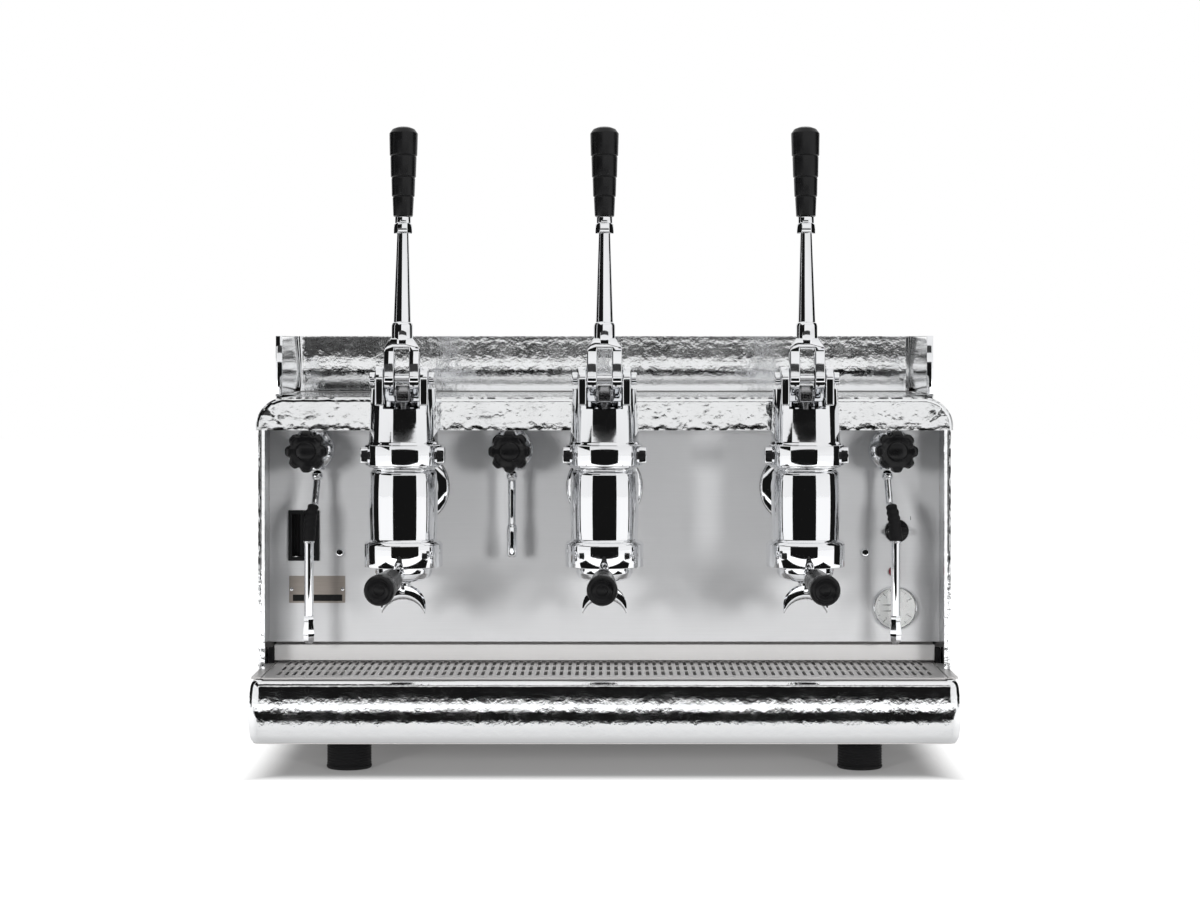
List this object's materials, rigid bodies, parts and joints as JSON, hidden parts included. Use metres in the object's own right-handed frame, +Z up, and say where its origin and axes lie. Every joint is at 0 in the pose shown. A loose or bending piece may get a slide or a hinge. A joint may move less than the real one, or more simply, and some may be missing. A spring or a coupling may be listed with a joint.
{
  "type": "lever espresso machine",
  "caption": "Countertop espresso machine with spring-lever brew groups, lock-in filter holders, steam wands, a drip tray and a railed cup shelf in hammered chrome.",
  "frame": {"origin": "centre of the bounding box on the floor under the feet", "axes": "+Z up, +X to the barista's right, +Y from the barista to the machine's back"},
  "size_m": [0.9478, 0.677, 0.863],
  "materials": {
    "hammered_chrome": "hammered and polished chrome plate",
    "polished_chrome": "polished chrome plate on cast brass",
    "brushed_steel": "stainless sheet brushed along its length",
    "spring_steel": "dark oiled spring wire",
    "copper": "satin copper sheet",
    "black_grip": "moulded black plastic, satin",
    "black_rubber": "black rubber, matt",
    "red_lens": "clear red plastic lens",
    "dial": "pale enamelled dial in a steel case"
  },
  "bodies": {
    "chassis": {"base_frame": "brushed_steel", "base_band": "hammered_chrome", "drip_pan": "brushed_steel", "drip_grate": "brushed_steel", "foot_front_left": "black_rubber", "foot_front_right": "black_rubber", "foot_rear_left": "black_rubber", "foot_rear_right": "black_rubber", "side_panel_left": "hammered_chrome", "side_panel_right": "hammered_chrome", "hood": "hammered_chrome", "cup_deck": "brushed_steel", "cup_rail": "hammered_chrome", "back_panel": "brushed_steel", "front_panel": "brushed_steel", "boiler": "copper", "sight_window": "black_grip", "pilot_lamp": "red_lens", "gauge_case": "dial", "group_body_left": "polished_chrome", "clamp_ring_left": "polished_chrome", "spring_housing_left": "polished_chrome", "main_spring_left": "spring_steel", "group_body_centre": "polished_chrome", "clamp_ring_centre": "polished_chrome", "spring_housing_centre": "polished_chrome", "main_spring_centre": "spring_steel", "group_body_right": "polished_chrome", "clamp_ring_right": "polished_chrome", "spring_housing_right": "polished_chrome", "main_spring_right": "spring_steel", "valve_body_left": "polished_chrome", "valve_body_centre": "polished_chrome", "valve_body_right": "polished_chrome"},
    "lever_arm_left": {"lever_left": "polished_chrome", "lever_grip_left": "black_grip"},
    "piston_set_left": {"piston_left": "brushed_steel"},
    "filter_holder_left": {"portafilter_left": "polished_chrome", "portafilter_grip_left": "black_grip"},
    "lever_arm_centre": {"lever_centre": "polished_chrome", "lever_grip_centre": "black_grip"},
    "piston_set_centre": {"piston_centre": "brushed_steel"},
    "filter_holder_centre": {"portafilter_centre": "polished_chrome", "portafilter_grip_centre": "black_grip"},
    "lever_arm_right": {"lever_right": "polished_chrome", "lever_grip_right": "black_grip"},
    "piston_set_right": {"piston_right": "brushed_steel"},
    "filter_holder_right": {"portafilter_right": "polished_chrome", "portafilter_grip_right": "black_grip"},
    "valve_handwheel_left": {"valve_knob_left": "black_grip"},
    "wand_left": {"steam_wand_left": "polished_chrome", "wand_sleeve_left": "black_rubber"},
    "valve_handwheel_centre": {"valve_knob_centre": "black_grip"},
    "water_outlet": {"water_spout": "polished_chrome"},
    "valve_handwheel_right": {"valve_knob_right": "black_grip"},
    "wand_right": {"steam_wand_right": "polished_chrome", "wand_sleeve_right": "black_rubber"},
    "main_switch": {"switch_knob": "black_grip"},
    "pointer_upper": {"gauge_needle_upper": "black_grip"},
    "pointer_lower": {"gauge_needle_lower": "black_grip"}
  },
  "joints": [
    {"name": "lever_pull_left", "type": "hinge", "parent": "chassis", "child": "lever_arm_left", "pos_m": [-0.269, -0.18548, 0.526], "axis": [1, 0, 0], "range_deg": [0, 85], "stiffness_Nm_per_rad": 8, "springref_deg": -28.65},
    {"name": "piston_lift_left", "type": "slide", "parent": "chassis", "child": "piston_set_left", "axis": [0, 0, 1], "range_m": [0, 0.0406], "deforming": ["main_spring_left"]},
    {"name": "filter_lock_left", "type": "hinge", "parent": "chassis", "child": "filter_holder_left", "pos_m": [-0.269, -0.15948, 0.28], "axis": [0, 0, 1], "range_deg": [-45, 0]},
    {"name": "lever_pull_centre", "type": "hinge", "parent": "chassis", "child": "lever_arm_centre", "pos_m": [0, -0.18548, 0.526], "axis": [1, 0, 0], "range_deg": [0, 85], "stiffness_Nm_per_rad": 8, "springref_deg": -28.65},
    {"name": "piston_lift_centre", "type": "slide", "parent": "chassis", "child": "piston_set_centre", "axis": [0, 0, 1], "range_m": [0, 0.0406], "deforming": ["main_spring_centre"]},
    {"name": "filter_lock_centre", "type": "hinge", "parent": "chassis", "child": "filter_holder_centre", "pos_m": [0, -0.15948, 0.28], "axis": [0, 0, 1], "range_deg": [-45, 0]},
    {"name": "lever_pull_right", "type": "hinge", "parent": "chassis", "child": "lever_arm_right", "pos_m": [0.269, -0.18548, 0.526], "axis": [1, 0, 0], "range_deg": [0, 85], "stiffness_Nm_per_rad": 8, "springref_deg": -28.65},
    {"name": "piston_lift_right", "type": "slide", "parent": "chassis", "child": "piston_set_right", "axis": [0, 0, 1], "range_m": [0, 0.0406], "deforming": ["main_spring_right"]},
    {"name": "filter_lock_right", "type": "hinge", "parent": "chassis", "child": "filter_holder_right", "pos_m": [0.269, -0.15948, 0.28], "axis": [0, 0, 1], "range_deg": [-45, 0]},
    {"name": "valve_turn_left", "type": "hinge", "parent": "chassis", "child": "valve_handwheel_left", "pos_m": [-0.405, -0.09348, 0.4262], "axis": [0, 1, 0], "range_deg": [0, 450]},
    {"name": "wand_swing_left", "type": "hinge", "parent": "chassis", "child": "wand_left", "pos_m": [-0.394, -0.06947, 0.3909], "axis": [-1, 0, 0], "range_deg": [0, 25]},
    {"name": "valve_turn_centre", "type": "hinge", "parent": "chassis", "child": "valve_handwheel_centre", "pos_m": [-0.129, -0.09348, 0.4262], "axis": [0, 1, 0], "range_deg": [0, 450]},
    {"name": "spout_swing", "type": "hinge", "parent": "chassis", "child": "water_outlet", "pos_m": [-0.127, -0.06947, 0.3909], "axis": [-1, 0, 0], "range_deg": [0, 20]},
    {"name": "valve_turn_right", "type": "hinge", "parent": "chassis", "child": "valve_handwheel_right", "pos_m": [0.397, -0.09348, 0.4262], "axis": [0, 1, 0], "range_deg": [0, 450]},
    {"name": "wand_swing_right", "type": "hinge", "parent": "chassis", "child": "wand_right", "pos_m": [0.388, -0.06947, 0.3909], "axis": [-1, 0, 0], "range_deg": [0, 25]},
    {"name": "switch_turn", "type": "hinge", "parent": "chassis", "child": "main_switch", "pos_m": [0.4065, -0.02077, 0.3123], "axis": [0, 1, 0], "range_deg": [0, 90]},
    {"name": "gauge_read_upper", "type": "hinge", "parent": "chassis", "child": "pointer_upper", "pos_m": [0.404, -0.02278, 0.2095], "axis": [0, 1, 0], "range_deg": [0, 150], "stiffness_Nm_per_rad": 0.0005},
    {"name": "gauge_read_lower", "type": "hinge", "parent": "chassis", "child": "pointer_lower", "pos_m": [0.404, -0.02278, 0.2011], "axis": [0, 1, 0], "range_deg": [-150, 0], "stiffness_Nm_per_rad": 0.0005}
  ],
  "couplings": [
    {"joint": "piston_lift_left", "follows": "lever_pull_left", "m_per_rad": 0.027324},
    {"joint": "piston_lift_centre", "follows": "lever_pull_centre", "m_per_rad": 0.027324},
    {"joint": "piston_lift_right", "follows": "lever_pull_right", "m_per_rad": 0.027324}
  ]
}
